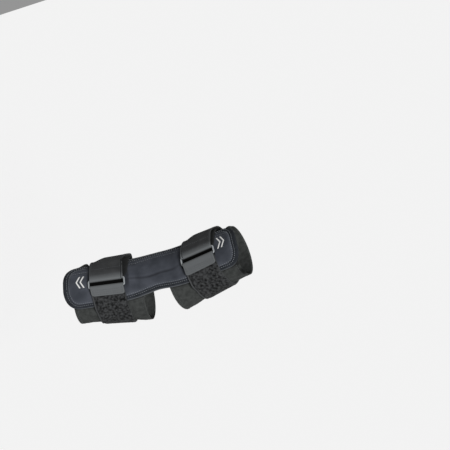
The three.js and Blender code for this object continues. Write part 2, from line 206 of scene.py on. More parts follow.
def smooth(value, low, high):
    """0 below low, 1 above high, with a soft slope between."""
    share = clamp((value - low) / (high - low), 0, 1)
    return share * share * (3 - 2 * share)


def follow(rows, column, at):
    """A column's value at a place, on a smooth curve through the rows."""
    last = len(rows) - 1
    place = clamp(at, rows[0]["at"], rows[last]["at"])
    n = next(n for n in range(last) if rows[n + 1]["at"] >= place)

    def slope(m):
        before, after = rows[max(m - 1, 0)], rows[min(m + 1, last)]
        return (after[column] - before[column]) / (after["at"] - before["at"])

    low, high = rows[n], rows[n + 1]
    run = high["at"] - low["at"]
    t = (place - low["at"]) / run
    bend = t * (1 - t) * run
    straight = low[column] + (high[column] - low[column]) * t * t * (3 - 2 * t)
    return straight + bend * (slope(n) * (1 - t) - slope(n + 1) * t)


def reach_at(s):
    return UPPER_REACH if s < 0 else FOREARM_REACH


def half_width(s):
    return follow(ARM, "wide", s / reach_at(s)) * ELBOW_WIDTH / 2


def half_depth(s):
    return half_width(s) * ELBOW_DEPTH / ELBOW_WIDTH


def on_arm(s, turn, height):
    """A point in metres from its place along the axis, degrees round, and height off the form."""
    curve = math.radians(BEND) / BEND_LENGTH
    bent = clamp(s, -BEND_LENGTH / 2, BEND_LENGTH / 2)
    tilt = curve * bent
    x = math.sin(tilt) / curve + (s - bent) * math.cos(tilt)
    z = (1 - math.cos(tilt)) / curve + (s - bent) * math.sin(tilt)
    forward = (half_depth(s) + height) * math.cos(math.radians(turn))
    sideways = (half_width(s) + height) * math.sin(math.radians(turn))
    across = Vector((x - math.sin(tilt) * forward, sideways, z + math.cos(tilt) * forward))
    return across * MM


def turn_for(length, s):
    """Degrees round the arm for a length round it at the panel's height.

    An oval's front is flatter than its sides, so there its width weighs more than its depth."""
    radius = (half_width(s) * FRONT_WEIGHT + half_depth(s)) / (FRONT_WEIGHT + 1)
    return math.degrees(length / (radius + PANEL_BASE + PANEL_THICK / 2))


def panel_middle(s):
    return follow(PANEL, "middle", s / reach_at(s)) * PANEL_WIDTH


def square_half(s):
    return follow(PANEL, "wide", s / reach_at(s)) * PANEL_WIDTH / 2


def panel_half(s):
    into = clamp(1 - (reach_at(s) - abs(s)) / END_ROUND, 0, 1)
    return square_half(s) * (1 - into**END_POWER) ** (1 / END_POWER)


def edge_turn(s, side):
    """Degrees from the front to a long edge of the panel."""
    return turn_for(panel_middle(s) + side * square_half(s), s)


def from_front(turn):
    """Degrees from the front, 180 at most, for a turn that runs on under the arm."""
    return turn + 360 if turn < -180 else turn


print("elbow's girth, mm:", round(math.pi * (ELBOW_WIDTH + ELBOW_DEPTH) / 2))

# %% [markdown]
# ## Materials
# All of it is textile but the rings. What the eye gets from each cloth is how it was made: a
# brushed laminate is matt and soft, a knitted elastic has ribs, a tape has cross ribs, a loop pile
# is rough and nearly black. The patterns are measured in millimetres on the flat cloth, which each
# piece carries as its UV map, in metres.


# %% Nodes and colours
def linear(code):
    """A hex colour as linear RGBA."""
    values = [int(code[n : n + 2], 16) / 255 for n in (0, 2, 4)]
    return [*(v / 12.92 if v <= 0.04045 else ((v + 0.055) / 1.055) ** 2.4 for v in values), 1]


def add(tree, kind, values=None, links=None, **settings):
    """Adds a node with its settings, its sockets' values and the sockets that feed it."""
    node = tree.nodes.new(kind)
    for name, value in settings.items():
        setattr(node, name, value)
    for name, value in (values or {}).items():
        node.inputs[name].default_value = value
    for name, source in (links or {}).items():
        tree.links.new(source, node.inputs[name])
    return node


def start_material(name):
    material = bpy.data.materials.new(name)
    material.use_nodes = True
    material.node_tree.nodes.clear()
    return material, material.node_tree


def mixed(tree, share, first, second):
    """A colour between two, each of which is a colour or another node's output."""
    node = add(tree, "ShaderNodeMix", links={0: share}, data_type="RGBA")
    for socket, value in ((6, first), (7, second)):
        if isinstance(value, list):
            node.inputs[socket].default_value = value
        else:
            tree.links.new(value, node.inputs[socket])
    return node.outputs[2]


def speckle(tree, spot, size, detail=2):
    """Noise in the piece's own space, its size in millimetres."""
    values = {"Scale": 1 / (size * MM), "Detail": detail}
    return add(tree, "ShaderNodeTexNoise", values, {"Vector": spot}).outputs[0]


def relief(tree, source, height, strength, under=None):
    """A bump of a height in millimetres, on top of another one where there is one."""
    links = {"Height": source, "Normal": under} if under else {"Height": source}
    values = {"Strength": strength, "Distance": height * MM}
    return add(tree, "ShaderNodeBump", values, links).outputs[0]


def surface(tree, values, links):
    shader = add(tree, "ShaderNodeBsdfPrincipled", values, links)
    add(tree, "ShaderNodeOutputMaterial", links={"Surface": shader.outputs[0]})


def ribs(tree, source, pitch):
    """A wave of ridges along one coordinate, one ridge for each pitch in millimetres."""
    per_metre = 2 * math.pi / (pitch * MM)
    turns = add(tree, "ShaderNodeMath", {1: per_metre}, {0: source}, operation="MULTIPLY")
    return add(tree, "ShaderNodeMath", links={0: turns.outputs[0]}, operation="SINE").outputs[0]


# The colour of painted shade, mixed in where a piece's dark attribute says no light falls.
UNLIT = linear("010101")
CLOTH_RELIEF = 0.8


def cloth(name, dark, light, worn_and_lit, rough, sheen, yarns, fibres, cast):
    """A cloth: ridges along and across it, a fuzz of fibres, soft shade in its colour, wear and
    painted highlight, and painted shade.

    yarns holds the pitch along, the pitch across and the height, fibres the size of the fuzz and
    its height, and cast the size of the soft shade, all in millimetres."""
    pitch_along, pitch_across, ridge = yarns
    fibre, nap_height = fibres
    material, tree = start_material(name)
    flat = add(tree, "ShaderNodeUVMap", uv_map="cloth").outputs[0]
    split = add(tree, "ShaderNodeSeparateXYZ", links={0: flat})
    lengthwise = ribs(tree, split.outputs[0], pitch_along)
    crosswise = ribs(tree, split.outputs[1], pitch_across)
    crossed = add(tree, "ShaderNodeMath", links={0: lengthwise, 1: crosswise}, operation="MULTIPLY")
    raised = add(tree, "ShaderNodeMath", links={0: crossed.outputs[0], 1: lengthwise}, operation="ADD")
    spot = add(tree, "ShaderNodeTexCoord").outputs["Object"]
    patch = speckle(tree, spot, cast, 3)
    tone = add(tree, "ShaderNodeMapRange", {"From Min": 0.35, "From Max": 0.65}, {"Value": patch})
    shade = mixed(tree, tone.outputs[0], linear(dark), linear(light))
    # The first attribute lightens the cloth for wear and for painted highlight, the second darkens it
    # with painted shade.
    wear = add(tree, "ShaderNodeAttribute", attribute_name="wear").outputs["Fac"]
    lightened = mixed(tree, wear, shade, linear(worn_and_lit))
    unlit = add(tree, "ShaderNodeAttribute", attribute_name="dark").outputs["Fac"]
    coloured = mixed(tree, unlit, lightened, UNLIT)
    weave = relief(tree, raised.outputs[0], ridge, CLOTH_RELIEF)
    nap = relief(tree, speckle(tree, spot, fibre), nap_height, CLOTH_RELIEF, weave)
    surface(
        tree,
        {
            "Roughness": rough,
            "Specular IOR Level": 0.1,
            "Sheen Weight": sheen,
            "Sheen Roughness": 0.5,
            "IOR": 1.5,
        },
        {"Base Color": coloured, "Normal": nap},
    )
    return material


# %% [markdown]
# The panel is covered with a brushed nylon laminate on foam: matt, with a short nap. The binding
# is a nylon tape with fine cross ribs. The bands are a knitted elastic whose ribs run round the
# arm. The straps are nylon with a brushed face, and the pile is the loop half of a touch
# fastener. The yarns are about half a millimetre, too fine for the render, so they are drawn at
# about twice that.

# %% The cloths
laminate = cloth(
    "brushed_nylon_laminate", "32353B", "41444B", "50545B",
    rough=0.9, sheen=0.02, yarns=(1.3, 1.3, 0.03), fibres=(0.5, 0.12), cast=22,
)
tape = cloth(
    "ribbed_nylon_tape", "1E2125", "2A2D32", "84888D",
    rough=0.8, sheen=0.02, yarns=(1.2, 40, 0.1), fibres=(0.5, 0.05), cast=9,
)
elastic = cloth(
    "knitted_elastic", "313332", "3E403F", "4E504F",
    rough=0.9, sheen=0.02, yarns=(2.2, 1.2, 0.14), fibres=(0.5, 0.08), cast=6,
)
webbing = cloth(
    "brushed_nylon_webbing", "303132", "3A3B3C", "696C6E",
    rough=0.75, sheen=0.02, yarns=(1, 1.6, 0.06), fibres=(0.4, 0.08), cast=14,
)
pile = cloth(
    "nylon_loop_pile", "0C0D0D", "3E3F40", "2A2B2B",
    rough=0.97, sheen=0.03, yarns=(1.1, 1.1, 0.05), fibres=(0.9, 0.7), cast=3.6,
)


# %% [markdown]
# The rings are moulded acetal, a hard grey plastic with a satin face from the mould. The thread is
# bonded polyester, a little shinier than the cloth that it sinks into. The chevrons are a screen
# print in white ink, which sits on top of the nap.


# %% Plastic, thread and print
DRIFT = 50 / 3
GRAIN_RELIEF = 0.7


def plain(name, colour, other, rough, size, deep):
    """A finish without yarns: a colour with a faint drift, and a relief of its own grain.

    size and deep are the grain's, in millimetres."""
    material, tree = start_material(name)
    spot = add(tree, "ShaderNodeTexCoord").outputs["Object"]
    shade = mixed(tree, speckle(tree, spot, DRIFT), linear(colour), linear(other))
    grain = relief(tree, speckle(tree, spot, size), deep, GRAIN_RELIEF)
    surface(tree, {"Roughness": rough, "IOR": 1.48}, {"Base Color": shade, "Normal": grain})
    return material


acetal = plain("moulded_acetal", "84888A", "8E9294", rough=0.3, size=0.6, deep=0.01)
thread = plain("polyester_thread", "7A7E84", "8E9296", rough=0.55, size=0.3, deep=0.05)
dark_thread = plain("dark_polyester_thread", "3E4144", "484B4E", rough=0.55, size=0.3, deep=0.05)
ink = plain("white_screen_print", "C8C8C6", "D6D6D4", rough=0.75, size=0.5, deep=0.06)
print("materials:", len(bpy.data.materials))

# %% [markdown]
# ## From a flat grid to a wall of cloth
# A real piece is cut flat and has a thickness. So each starts as two flat grids, one for each face
# of the cloth. A function puts their points where the cloth lies, bridge_loops closes the edge
# between them, and bevel rounds it, as a cut edge of webbing or a hem is round.


# %% Walls of cloth
HALF = 0.5
TINY = 1e-6


def finish(name, mesh, material, nodes):
    """Makes the object, gives it its material, and hides the solids it stands for."""
    bmesh.ops.recalc_face_normals(mesh, faces=mesh.faces)
    for face in mesh.faces:
        face.smooth = True
    data = bpy.data.meshes.new(name)
    mesh.to_mesh(data)
    mesh.free()
    data.materials.append(material)
    piece = bpy.data.objects.new(name, data)
    bpy.context.scene.collection.objects.link(piece)
    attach(piece, "root")
    if nodes:
        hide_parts(*nodes)
    print(name, "faces:", len(data.polygons))
    return piece


def unpainted(u, v, face):
    return 0, 0


def wall(across, along, place, flat, paint=unpainted, hoop=False, edge=0.0):
    """A mesh of two grids joined at their borders.

    place(u, v, face) gives a point, flat(u, v) its millimetres on the flat cloth, and paint its
    wear and painted highlight, and its painted shade. A hoop meets itself in v."""
    mesh = bmesh.new()
    uv = mesh.loops.layers.uv.new("cloth")
    worn_and_lit = mesh.verts.layers.float.new("wear")
    dark = mesh.verts.layers.float.new("dark")
    side = mesh.verts.layers.float.new("side")
    for face in (0, 1):
        grid = bmesh.ops.create_grid(mesh, x_segments=across, y_segments=along, size=HALF)
        for vertex in grid["verts"]:
            u, v = vertex.co.x + HALF, vertex.co.y + HALF
            for loop in vertex.link_loops:
                loop[uv].uv = [x * MM for x in flat(u, v)]
            vertex[worn_and_lit], vertex[dark] = paint(u, v, face)
            vertex[side] = u
            vertex.co = place(u, v, face)
    if hoop:
        bmesh.ops.remove_doubles(mesh, verts=mesh.verts, dist=TINY)
    border = [e for e in mesh.edges if e.is_boundary]
    if hoop:
        for end in (0, 1):
            rim = [e for e in border if all(abs(v[side] - end) < HALF for v in e.verts)]
            bmesh.ops.bridge_loops(mesh, edges=rim)
    else:
        bmesh.ops.bridge_loops(mesh, edges=border)
    if edge:
        bmesh.ops.bevel(
            mesh,
            geom=border,
            offset=edge * MM,
            segments=2,
            profile=0.5,
            affect="EDGES",
            material=-1,
            clamp_overlap=True,
        )
    return mesh


def append(whole, part):
    """Adds one bmesh to another, and frees it."""
    data = bpy.data.meshes.new("part")
    part.to_mesh(data)
    part.free()
    whole.from_mesh(data)
    bpy.data.meshes.remove(data)


# %% [markdown]
# ## The panel's outline
# The outline is worked out on the unrolled cloth. The binding follows it, the padding is pressed
# flat along it, and the stitches keep a fixed distance from it, so it is made once, finely.

# %% Outline
OUTLINE_STEPS = 150
END_CROWDING = 0.8


def crowded(share):
    """A share from 0 to 1 whose steps are closer together at both ends."""
    return share - END_CROWDING * math.sin(2 * math.pi * share) / (2 * math.pi)


def station(share):
    """A place along the panel, from a share of its length."""
    low, high = GAP - UPPER_REACH, FOREARM_REACH - GAP
    return low + (high - low) * crowded(share)


def outline_edge(side):
    """Points along one long edge, as millimetres along the arm and round it."""
    places = [station(n / OUTLINE_STEPS) for n in range(OUTLINE_STEPS + 1)]
    return [(s, panel_middle(s) + side * panel_half(s)) for s in places]


def divide(a, b, parts=8):
    """Points that part a stretch evenly, without its ends."""
    a, b = np.array(a), np.array(b)
    return [a + (b - a) * n / parts for n in range(1, parts)]


lower_edge, upper_edge = outline_edge(-1), outline_edge(1)[::-1]
outline = np.array(
    lower_edge
    + divide(lower_edge[-1], upper_edge[0])
    + upper_edge
    + divide(upper_edge[-1], lower_edge[0])
)
sides = np.roll(outline, -1, axis=0) - outline
side_squares = (sides**2).sum(axis=1)
lengths = np.concatenate([[0], np.cumsum(np.sqrt(side_squares))])
girth = lengths[-1]
print("outline, mm:", round(float(girth)))


def from_outline(s, w):
    """Distance from a point of the unrolled panel to its outline."""
    gap = np.array((s, w)) - outline
    t = np.clip((gap * sides).sum(axis=1) / side_squares, 0, 1)
    return float(np.sqrt(((gap - sides * t[:, None]) ** 2).sum(axis=1)).min())


def along_outline(length):
    """Point of the outline at a length round it, and the direction into the panel."""
    closed = np.vstack([outline, outline[:1]])

    def point(at):
        return np.array([np.interp(at % girth, lengths, closed[:, k]) for k in (0, 1)])

    reach = 1.5
    ahead = point(length + reach) - point(length - reach)
    inward = np.array((-ahead[1], ahead[0])) / np.hypot(*ahead)
    return point(length), inward


# %% [markdown]
# ## The splint panel
# The real one is a foam pad in a cloth cover, with a long pocket for the stay sewn down its middle.
# The foam swells between the seams and is pressed flat where a seam or the binding holds it. That
# is all height, so the panel is a fine grid, and its height is a formula: full in the middle, low
# at the rim, raised over the pocket, with a groove at the pocket's upper seam, one long crease
# where the elbow bends it, and a faint unevenness of the foam.

# %% Panel
SEAM_DEPTH = 0.7
SEAM_HALF = 1.3
CREASE_DEPTH = 1.1
CREASE_HALF = 1.7
CREASE_SHADE = 0.45
RIM_SOFT = 1
RIM_LINE = 1.2
RIM_LIGHTER = 0.15
SHADE_SOFT = 2
WAVE_SIZE = 26
WAVE_HEIGHT = 0.28
WAVE_SEED = 1
PANEL_ALONG = 250
PANEL_ACROSS = 100


def pocket_aside(s, w):
    """Distance outside the pocket's seams, negative between them."""
    return abs(w - panel_middle(s) - POCKET_SHIFT) - POCKET_WIDTH / 2


def creased(s, w):
    """1 at the bottom of the crease at the elbow, and 0 away from it."""
    aside = (w - panel_middle(s) - follow(CREASE, "from_middle", s)) / CREASE_HALF
    return clamp(follow(CREASE, "deep", s), 0, 1) * math.exp(-aside * aside)


def panel_top(s, w):
    rim = BINDING_WIDTH + GAP
    full = smooth(from_outline(s, w), rim - RIM_SOFT, rim + RIM_SLOPE + RIM_SOFT)
    aside = pocket_aside(s, w)
    pocket = full * (1 - smooth(aside, -POCKET_SLOPE, 0))
    sewn = w > panel_middle(s) + POCKET_SHIFT
    groove = full * sewn * SEAM_DEPTH * math.exp(-((aside / SEAM_HALF) ** 2))
    fold = full * creased(s, w) * CREASE_DEPTH
    wave = noise.noise(Vector((s / WAVE_SIZE, w / WAVE_SIZE, WAVE_SEED)))
    foam = full * WAVE_HEIGHT * wave
    top = PANEL_TOP - POCKET_RISE - RIM_TOP
    return RIM_TOP + full * top + pocket * POCKET_RISE - groove - fold + foam


def panel_base(s, w):
    full = smooth(from_outline(s, w), BINDING_WIDTH + GAP, BINDING_WIDTH + GAP + RIM_SLOPE)
    return RIM_BASE + full * (PANEL_BASE - RIM_BASE)


def on_panel(s, w, height):
    return on_arm(s, turn_for(w, s), height)


def panel_flat(u, v):
    s = station(v)
    return s, panel_middle(s) + panel_half(s) * (2 * crowded(u) - 1)


def panel_place(u, v, face):
    s, w = panel_flat(u, v)
    return on_panel(s, w, panel_top(s, w) if face else panel_base(s, w))


def shade_under_ring(fastening, s, w):
    """Painted shade: 1 under the open middle of a ring, where no light falls."""
    middle = fastening["side"] * STRAP_PLACE
    along = 1 - smooth(abs(s - middle), STRAP_WIDTH / 2, STRAP_WIDTH / 2 + SHADE_SOFT)
    from_ring = math.radians(turn_for(w, s) - fastening["turn"]) * half_width(middle)
    low, high = (RING_TALL - SHADE_SOFT) / 2, (RING_TALL + SHADE_SOFT) / 2
    return along * (1 - smooth(abs(from_ring), low, high))


def hollow_shade(row, along, across):
    """How dark the painted shade of a hollow is, at millimetres off the hollow's middle."""
    return row["dark"] * math.exp(-((along / row["long"]) ** 4) - (across / row["wide"]) ** 4)


def panel_paint(u, v, face):
    """Lighter at the padding's rim; painted shade in the crease, under the rings and in hollows."""
    s, w = panel_flat(u, v)
    rim = (from_outline(s, w) - BINDING_WIDTH - RIM_SLOPE) / RIM_LINE
    aside = w - panel_middle(s)
    unlit = [CREASE_SHADE * creased(s, w)]
    unlit += [shade_under_ring(fastening, s, w) for fastening in FASTENINGS]
    unlit += [hollow_shade(row, s - row["at"], aside - row["off_middle"]) for row in SHADED_HOLLOWS]
    return RIM_LIGHTER * math.exp(-rim * rim), max(unlit) if face else 0


mesh = wall(PANEL_ACROSS, PANEL_ALONG, panel_place, panel_flat, panel_paint)
panel = finish("panel_cover", mesh, laminate, ["panel"])

# %% [markdown]
# ## The binding
# A tape is folded over the raw edge of the panel and sewn through. Its section is a C, so the grid
# runs once round the outline and once round the C, and the two ends of the hoop are merged. The
# stitches draw the tape in a little, which gives a faint ripple along its inner edge.

# %% Binding
BINDING_BASE = PANEL_BASE
BINDING_TOP = RIM_TOP + GAP + BINDING_WALL
BACK_ROUND = 1.8
TAPE_WIDTH = 16
RIPPLE = 0.12
RIPPLE_PITCH = 6.4
RIPPLE_FROM = 2
WANDER = 0.4
WANDER_LONG = 9
WANDER_SEED = 3
# A painted highlight along the binding's folded edge: its strength, and its width as a share of the
# tape.
FOLD_HIGHLIGHT = 0.8
FOLD_LINE = 0.1
BINDING_ALONG = 420
BINDING_ACROSS = 20


def binding_section(share):
    """Middle of the tape as depth into the panel and height, from its top edge round to its base."""
    middle = (BINDING_TOP + BINDING_BASE) / 2
    half = (BINDING_TOP - BINDING_BASE - BINDING_WALL) / 2
    centre = BACK_ROUND - GAP - BINDING_WALL / 2
    straight = BINDING_WIDTH - centre
    turned = math.pi * (half + BACK_ROUND) / 2
    walked = share * (2 * straight + turned)
    if walked < straight:
        return BINDING_WIDTH - walked, middle + half, 0, 1
    if walked > straight + turned:
        return centre + walked - straight - turned, middle - half, 0, -1
    angle = math.pi * (walked - straight) / turned
    deep, high = -math.sin(angle), math.cos(angle)
    return centre + BACK_ROUND * deep, middle + half * high, deep, high


def binding_place(u, v, face):
    length = v * girth
    point, inward = along_outline(length)
    depth, height, deep, high = binding_section(u)
    out = (face - HALF) * BINDING_WALL
    near_edge = smooth(depth, RIPPLE_FROM, BINDING_WIDTH)
    ripple = RIPPLE * near_edge * math.sin(2 * math.pi * length / RIPPLE_PITCH)
    wander = WANDER * near_edge * noise.noise(Vector((length / WANDER_LONG, u, WANDER_SEED)))
    s, w = point + inward * (depth + deep * out + wander)
    return on_panel(s, w, height + high * (out + ripple))


def binding_paint(u, v, face):
    """A painted highlight on the fold at the very edge, along the two long sides."""
    s = along_outline(v * girth)[0][0]
    from_end = reach_at(s) - abs(s)
    long_side = smooth(from_end, BINDING_WIDTH, END_ROUND)
    return FOLD_HIGHLIGHT * long_side * math.exp(-(((u - HALF) / FOLD_LINE) ** 2)), 0


mesh = wall(
    BINDING_ACROSS,
    BINDING_ALONG,
    binding_place,
    lambda u, v: (v * girth, u * TAPE_WIDTH),
    binding_paint,
    hoop=True,
)
finish("edge_binding", mesh, tape, ["panel_binding"])

# %% [markdown]
# ## The elastic bands
# Each band goes round under the arm, from one edge of the panel to the other, and is sewn under
# both. The strap pulls it in and it stands off a little beside the strap. A stretched knit has
# long shallow folds that run with the pull, so the height has a noise that is stretched round the
# arm, and it fades out under the strap and the panel, where the band is held down.

# %% Bands
FOLD_HEIGHT = 0.9
FOLD_LONG = 60
FOLD_WIDE = 9
FOLD_SEED = 5
HEM = 5
HEM_RISE = 0.35
HEM_STEP = 1
HEM_WEAR = 0.3
HEM_LINE = 1.5
# Painted shadow on each band where it goes under the panel's edges, and the millimetres over which it
# fades.
TUCK_SHADE = 0.6
TUCK_SOFT = 4
BAND_EDGE = 0.6
BAND_ACROSS = 80
BAND_ALONG = 190


def band_rise(fastening, s, turn):
    """How far the band stands off the arm: its flare, its gathers and its folds."""
    strap_middle = fastening["side"] * STRAP_PLACE + STRAP_SLANT / 2
    aside = abs(s - strap_middle) - (STRAP_WIDTH + STRAP_SLANT) / 2 - 2 * GAP
    upper = 1 if turn > 0 else -1
    bare = abs(turn) - abs(edge_turn(s, upper)) - turn_for(BINDING_WALL + GAP, s)
    flare = FLARE * smooth(aside, 0, STRAP_WIDTH / 2) * smooth(bare, 0, 4 * STEP)
    rise = 0
    for row in GATHERS:
        if row["side"] == fastening["side"]:
            along = (s - row["side"] * row["at"] * STRAP_PLACE) / (row["long"] * STRAP_WIDTH)
            wide = half_width(s) / (row["round"] * STRAP_WIDTH)
            across = math.radians(turn - row["turn"]) * wide
            rise += row["rise"] * PANEL_THICK * math.exp(-along * along - across * across)
    clear = smooth(aside, 0, BAND_THICK * 3) * smooth(bare, 0, 2 * STEP)
    round_it = math.radians(turn if turn < 0 else turn - 360) * half_width(s)
    seed = FOLD_SEED * fastening["side"]
    folds = noise.noise(Vector((round_it / FOLD_LONG, s / FOLD_WIDE, seed)))
    return flare + clear * (rise + FOLD_HEIGHT * max(folds, 0))


def band_point(fastening, u, v):
    """Place along the arm and degrees round it of a point of the band."""
    under = math.sin(math.pi * v) ** 2
    lean = fastening["front"] + (fastening["back"] - fastening["front"]) * under
    near = ELBOW_GAP / 2 + lean
    far = ELBOW_GAP / 2 + BAND_WIDTH - fastening["taper"] * under
    s = fastening["side"] * (near + (far - near) * u)
    start = edge_turn(s, -1) + turn_for(BAND_TUCK, s)
    finish_turn = edge_turn(s, 1) - turn_for(BAND_TUCK, s) - 360
    return s, start + (finish_turn - start) * v


def make_band(fastening):
    middle = fastening["side"] * (ELBOW_GAP + BAND_WIDTH) / 2
    ends = [band_point(fastening, HALF, v)[1] for v in (0, 1)]
    mean = (half_width(middle) + half_depth(middle)) / 2 + BAND_THICK / 2
    length = math.radians(ends[0] - ends[1]) * mean

    def place(u, v, face):
        s, turn = band_point(fastening, u, v)
        from_hem = min(u, 1 - u) * BAND_WIDTH
        hem = HEM_RISE * (1 - smooth(from_hem, HEM - HEM_STEP, HEM))
        rise = band_rise(fastening, s, from_front(turn))
        return on_arm(s, turn, rise + face * (BAND_THICK + hem - HEM_RISE))

    def paint(u, v, face):
        """Rubbed at the hems; painted shade by the panel's edges, over the tuck and in hollows."""
        s, turn = band_point(fastening, u, v)
        edge = 1 if from_front(turn) > 0 else -1
        bare = math.radians(edge * (from_front(turn) - edge_turn(s, edge))) * half_width(s)
        unlit = [TUCK_SHADE * (1 - smooth(bare, BINDING_WALL, BINDING_WALL + TUCK_SOFT))]
        for row in BAND_SHADED_HOLLOWS:
            across = math.radians(turn - row["turn"]) * half_width(s)
            unlit.append(hollow_shade(row, s - row["at"], across))
        worn_and_lit = HEM_WEAR * math.exp(-((min(u, 1 - u) * BAND_WIDTH / HEM_LINE) ** 2))
        return worn_and_lit, max(unlit) if face else 0

    mesh = wall(
        BAND_ACROSS,
        BAND_ALONG,
        place,
        lambda u, v: (u * BAND_WIDTH, v * length),
        paint,
        edge=BAND_EDGE,
    )
    name = fastening["name"]
    band = finish(f"{name}_elastic", mesh, elastic, [f"{name}_band"])
    return length


for fastening in FASTENINGS:
    print(fastening["name"], "band, mm round:", round(make_band(fastening)))

# %% [markdown]
# ## The straps
# A strap starts at its loose tab, goes over and round the ring's lower bar, under the arm, over
# the panel's upper edge and round the upper bar, and ends sewn to itself. Its path is a line of
# points in the section of the arm, each with its degrees round and its height. A smooth curve
# through those points gives the fine steps, and the webbing is laid on that curve.

# %% The path of a strap
FINE = 5


def strap_path(fastening):
    """The path's points and the pile's ends.

    A point is its degrees round going under the arm, its height, how far it lies towards the hand,
    and how far its other edge droops."""
    middle = fastening["side"] * STRAP_PLACE
    per_mm = math.degrees(1 / (half_width(middle) + RING_HEIGHT))
    reach = (RING_TALL - RING_BAR) / 2
    lower = -fastening["turn"] + reach * per_mm
    upper = 360 - fastening["turn"] - reach * per_mm
    edges = [-edge_turn(middle + end * STRAP_WIDTH / 2, -1) for end in (-1, 1)]
    off_panel = max(edges) + 2 * per_mm * (BINDING_WALL + GAP)

    def fold(bar, towards):
        angles = [math.pi * n / FOLD_STEPS for n in range(FOLD_STEPS + 1)]
        wide = towards * FOLD_RADIUS * per_mm
        return [(bar - wide * math.sin(a), RING_HEIGHT + FOLD_RADIUS * math.cos(a)) for a in angles]

    def run(start, stop, height):
        steps = math.ceil(abs(stop - start) / STEP)
        places = [start + (stop - start) * n / steps for n in range(steps + 1)]
        return [(place, height(place)) for place in places]

    def arch(place):
        return STRAP_ON_BAND + follow(ARCH, "high", 360 - place) * ARCH_RISE

    def slant(rows, at):
        return follow(rows, fastening["name"], at) * STRAP_SLANT

    tab_end = lower + fastening["tab"] * per_mm
    tail_end = upper - TAIL_LENGTH * per_mm
    arch_start, arch_end = 360 - ARCH[-1]["at"], 360 - ARCH[0]["at"]
    folded = run(tab_end, lower + 3 * RING_BAR * per_mm, lambda _: TAB_HEIGHT) + fold(lower, 1)
    wrapped = (
        folded
        + run(lower + RING_BAR * per_mm, off_panel, lambda _: STRAP_ON_PANEL)
        + run(off_panel + 2 * STEP, arch_start - STEP, lambda _: STRAP_ON_BAND)
        + run(arch_start, arch_end, arch)
        + fold(upper, -1)
    )
    tail = run(upper - RING_BAR * per_mm, tail_end, lambda _: STRAP_ON_PANEL)
    path = []
    for place, high in wrapped:
        droop = follow(ARCH, "droop", 360 - place) * ARCH_RISE
        path.append((place, high, slant(SLANT, place), droop))
    path += [(*p, slant(TAIL, (upper - p[0]) / (upper - tail_end)), 0) for p in tail]
    pile_start = len(folded)
    pile_end = next(n for n, p in enumerate(path) if n > pile_start and p[0] > PILE_END)
    return path, pile_start, pile_end


def fine_path(path):
    """A smooth curve through the points, with FINE steps from each to the next."""
    points = np.array(path)
    fine = []
    for n in range(len(points) - 1):
        before, after = points[max(n - 1, 0)], points[min(n + 2, len(points) - 1)]
        a, b = points[n], points[n + 1]
        span = np.linalg.norm(b - a)
        first = (b - before) / max(np.linalg.norm(a - before) + span, TINY) * span
        second = (after - a) / max(np.linalg.norm(after - b) + span, TINY) * span
        for k in range(FINE):
            t = k / FINE
            fine.append(
                a * (1 + 2 * t) * (1 - t) ** 2
                + first * t * (1 - t) ** 2
                + b * t * t * (3 - 2 * t)
                - second * t * t * (1 - t)
            )
    fine.append(points[-1])
    return np.array(fine)


# %% [markdown]
# The webbing is a wall on that curve. Its outer side is to the left of the path, so one function
# gives a point from a place along it, a place across it and a distance from its middle. The pile
# and the stitches use the same function, and so lie on the strap wherever it goes.


# %% Straps
DROOP_WIDTH = 18
FOLD_DARK = 0.5
FOLD_LIT = 1.5


class Strap:
    """A strap's fine path, with its normals and its length so far at each point, in millimetres."""

    def __init__(self, fastening):
        self.name = fastening["name"]
        self.middle = fastening["side"] * STRAP_PLACE
        self.turn = fastening["turn"]
        self.cut = fastening["cut"]
        self.mm_per = math.radians(half_width(self.middle) + RING_HEIGHT)
        path, start, end = strap_path(fastening)
        self.points = fine_path(path)
        self.pile = (start * FINE, end * FINE)
        flat = self.points[:, :2] * (self.mm_per, 1)
        ahead = np.gradient(flat, axis=0)
        ahead /= np.maximum(np.hypot(ahead[:, 0], ahead[:, 1]), TINY)[:, None]
        self.normals = np.stack([-ahead[:, 1], ahead[:, 0]], axis=1)
        steps = np.hypot(*np.diff(flat, axis=0).T)
        self.lengths = np.concatenate([[0], np.cumsum(steps)])
        fold = math.pi * FOLD_RADIUS
        self.tab = float(self.lengths[start * FINE]) - fold / 2
        self.tail = float(self.lengths[-1]) - TAIL_LENGTH
        self.upper_bar = self.tail - fold

    def place(self, at, across, out):
        """A point from an index along the path, millimetres from the middle, and distance out."""
        low = int(clamp(math.floor(at), 0, len(self.points) - 2))
        t = at - low
        (place, high, shift, hang), (turn, rise) = (
            row[low] * (1 - t) + row[low + 1] * t for row in (self.points, self.normals)
        )
        degrees_round = place + turn * out / self.mm_per
        loose = 1 - smooth(across + STRAP_WIDTH / 2, 0, DROOP_WIDTH)
        s = self.middle + shift + across
        return on_arm(s, -degrees_round, high - loose * hang + rise * out)

    def shade_inside_ring(self, at):
        """Painted shade: 1 on the folds where they turn down into the ring."""
        place, high = self.points[round(at)][:2]
        from_ring = (place + self.turn) if place < 180 else (place + self.turn - 360)
        below = 1 - smooth(high, RING_HEIGHT - FOLD_DARK, RING_HEIGHT + FOLD_LIT)
        away = abs(from_ring) * self.mm_per
        return below * (1 - smooth(away, RING_TALL / 2, RING_TALL / 2 + SHADE_SOFT))

    def length(self, at):
        return float(np.interp(at, range(len(self.lengths)), self.lengths))

    def index(self, length, across=0):
        """The index at a length. The tab is cut at a slant, so its rows are drawn in at one side."""
        on_tab = 1 - clamp(length / self.tab, 0, 1)
        drawn_in = self.cut * (across / STRAP_WIDTH + HALF) * on_tab
        return float(np.interp(length + drawn_in, self.lengths, range(len(self.lengths))))


